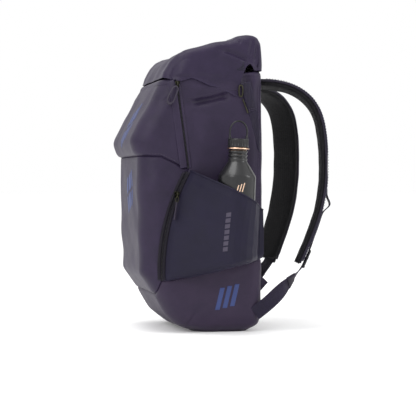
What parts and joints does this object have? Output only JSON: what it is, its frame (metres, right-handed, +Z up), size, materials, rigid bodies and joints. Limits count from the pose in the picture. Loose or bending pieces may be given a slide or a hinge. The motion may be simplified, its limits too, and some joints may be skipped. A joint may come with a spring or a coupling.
{
  "type": "racket backpack",
  "caption": "Roll-top backpack for rackets with overhanging zipped front pockets, stretch side pockets, curved padded shoulder straps and a removable steel bottle.",
  "frame": {"origin": "on the ground, at the middle of the flat of the base", "axes": "+X is the wearer's right, -Y the front with the pockets, +Y the back panel, +Z up"},
  "size_m": [0.349, 0.3579, 0.512],
  "materials": {
    "body_fabric": "coated plain-weave polyester, dark muted purple",
    "base_fabric": "coated polyester, dark muted purple",
    "stretch_fabric": "stretch woven fabric, deep blue violet",
    "air_mesh": "black spacer mesh over foam",
    "webbing": "woven polyester webbing, purple",
    "lining": "padded lining",
    "foam": "closed-cell foam",
    "zip_tape": "coated zip tape with moulded coil",
    "gunmetal": "gunmetal coating",
    "pull_rubber": "moulded soft pull",
    "stiffener_plastic": "polyethylene sheet",
    "buckle_plastic": "moulded acetal",
    "bottle_steel": "black powder coat, satin",
    "copper_ring": "rose-gold anodised ring",
    "cap_plastic": "moulded polypropylene",
    "gasket_rubber": "silicone"
  },
  "bodies": {
    "bag": {"main_shell": "body_fabric", "upper_front_pocket": "body_fabric", "lower_front_pocket": "body_fabric", "base_panel": "base_fabric", "side_pocket_right": "stretch_fabric", "side_pocket_left": "stretch_fabric", "upper_zip_track": "zip_tape", "lower_zip_track": "zip_tape", "zip_flap_right": "body_fabric", "zip_flap_left": "body_fabric", "back_stiffener": "stiffener_plastic", "racket_divider": "lining", "base_foam": "foam", "back_pad_right": "air_mesh", "back_pad_left": "air_mesh", "lumbar_pad": "air_mesh", "strap_yoke": "body_fabric", "closure_strap_right": "webbing", "closure_strap_left": "webbing", "lower_webbing_right": "webbing", "lower_webbing_left": "webbing", "anchor_tab_right": "body_fabric", "anchor_tab_left": "body_fabric"},
    "roll_top": {"roll_top_hood": "body_fabric", "rolled_mouth": "body_fabric", "mouth_strip_front": "stiffener_plastic", "mouth_strip_rear": "stiffener_plastic", "roll_end_tab_right": "webbing", "roll_end_tab_left": "webbing"},
    "hook_right": {"closure_hook_right": "gunmetal"},
    "hook_left": {"closure_hook_left": "gunmetal"},
    "upper_slider": {"upper_zip_slider": "gunmetal"},
    "upper_pull": {"upper_zip_pull": "pull_rubber"},
    "lower_slider": {"lower_zip_slider": "gunmetal"},
    "lower_pull": {"lower_zip_pull": "pull_rubber"},
    "haul": {"haul_loop": "webbing"},
    "bottle": {"bottle_body": "bottle_steel", "cap_ring": "copper_ring"},
    "bottle_cap": {"bottle_cap": "cap_plastic", "cap_gasket": "gasket_rubber"},
    "bottle_loop": {"bottle_loop": "cap_plastic"},
    "strap_right": {"shoulder_pad_right": "air_mesh", "shoulder_cover_right": "body_fabric", "strap_webbing_right": "webbing"},
    "lock_right": {"ladder_lock_right": "buckle_plastic"},
    "strap_left": {"shoulder_pad_left": "air_mesh", "shoulder_cover_left": "body_fabric", "strap_webbing_left": "webbing"},
    "lock_left": {"ladder_lock_left": "buckle_plastic"}
  },
  "joints": [
    {"name": "roll_top_open", "type": "hinge", "parent": "bag", "child": "roll_top", "pos_m": [0, 0.084, 0.45125], "axis": [-1, 0, 0], "range_deg": [0, 80]},
    {"name": "hook_right_swing", "type": "hinge", "parent": "bag", "child": "hook_right", "pos_m": [0.12586, 0.0435, 0.4063], "axis": [-1, 0, 0], "range_deg": [0, 75]},
    {"name": "hook_left_swing", "type": "hinge", "parent": "bag", "child": "hook_left", "pos_m": [-0.12586, 0.0435, 0.4063], "axis": [-1, 0, 0], "range_deg": [0, 75]},
    {"name": "upper_slider_travel", "type": "slide", "parent": "bag", "child": "upper_slider", "axis": [0.0326, 0.1325, -0.9906], "range_m": [0, 0.126]},
    {"name": "upper_pull_swing", "type": "hinge", "parent": "upper_slider", "child": "upper_pull", "pos_m": [0.13189, -0.06739, 0.422], "axis": [1, 0, 0], "range_deg": [-60, 26]},
    {"name": "lower_slider_travel", "type": "hinge", "parent": "bag", "child": "lower_slider", "pos_m": [0.129, 0.25723, 0.10645], "axis": [1, 0, 0], "range_deg": [-5.2, 22.04]},
    {"name": "lower_pull_swing", "type": "hinge", "parent": "lower_slider", "child": "lower_pull", "pos_m": [0.1345, -0.06885, 0.234], "axis": [1, 0, 0], "range_deg": [-45, 0]},
    {"name": "strap_right_swing", "type": "hinge", "parent": "bag", "child": "strap_right", "pos_m": [0.056, 0.084, 0.432], "axis": [0.9758, -0.2074, 0.0698], "range_deg": [-3, 5]},
    {"name": "lock_right_tilt", "type": "hinge", "parent": "strap_right", "child": "lock_right", "pos_m": [0.09571, 0.17297, 0.14103], "axis": [0.9758, -0.2074, 0.0698], "range_deg": [0, 30]},
    {"name": "strap_left_swing", "type": "hinge", "parent": "bag", "child": "strap_left", "pos_m": [-0.056, 0.084, 0.432], "axis": [0.8824, 0.4692, -0.0349], "range_deg": [-3, 5]},
    {"name": "lock_left_tilt", "type": "hinge", "parent": "strap_left", "child": "lock_left", "pos_m": [-0.10972, 0.16335, 0.1405], "axis": [0.8824, 0.4692, -0.0349], "range_deg": [0, 30]},
    {"name": "haul_loop_swing", "type": "hinge", "parent": "bag", "child": "haul", "pos_m": [0, 0.0925, 0.419], "axis": [1, 0, 0], "range_deg": [0, 150]},
    {"name": "bottle_lift", "type": "slide", "parent": "bag", "child": "bottle", "axis": [0, 0.0349, 0.9994], "range_m": [0, 0.26]},
    {"name": "cap_turn", "type": "hinge", "parent": "bottle", "child": "bottle_cap", "pos_m": [0.1635, 0.02984, 0.32119], "axis": [0, 0.0349, 0.9994], "continuous": true},
    {"name": "carry_loop_swing", "type": "hinge", "parent": "bottle_cap", "child": "bottle_loop", "pos_m": [0.1635, 0.03038, 0.33668], "axis": [0, 0.9994, -0.0349], "range_deg": [-80, 80]}
  ]
}
